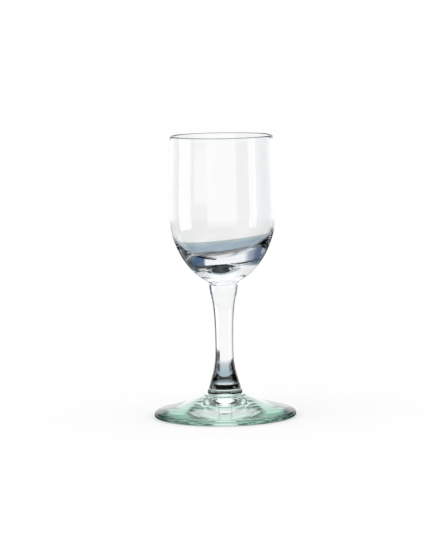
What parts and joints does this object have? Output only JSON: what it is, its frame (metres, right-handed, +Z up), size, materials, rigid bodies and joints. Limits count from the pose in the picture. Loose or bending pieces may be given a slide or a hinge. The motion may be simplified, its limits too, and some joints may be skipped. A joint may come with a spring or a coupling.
{
  "type": "vodka glass",
  "caption": "Stemmed vodka glass: a tall cup with a heavy base on a waisted solid stem, a flattened collar and a shallow conical foot.",
  "frame": {"origin": "middle of the circle on which the foot stands", "axes": "+Z up along the glass's axis of revolution; -Y towards the camera of the picture; +X to its right"},
  "size_m": [0.059, 0.059, 0.117],
  "materials": {
    "clear_glass": "fire-polished soda-lime glass, near colourless with a faint blue-grey tone where it is thick",
    "green_glass": "fire-polished soda-lime glass, pale aqua through the flat and bottle green at the edge"
  },
  "bodies": {
    "root": {"foot": "green_glass", "collar": "green_glass", "stem": "clear_glass", "bowl": "clear_glass"}
  },
  "joints": []
}
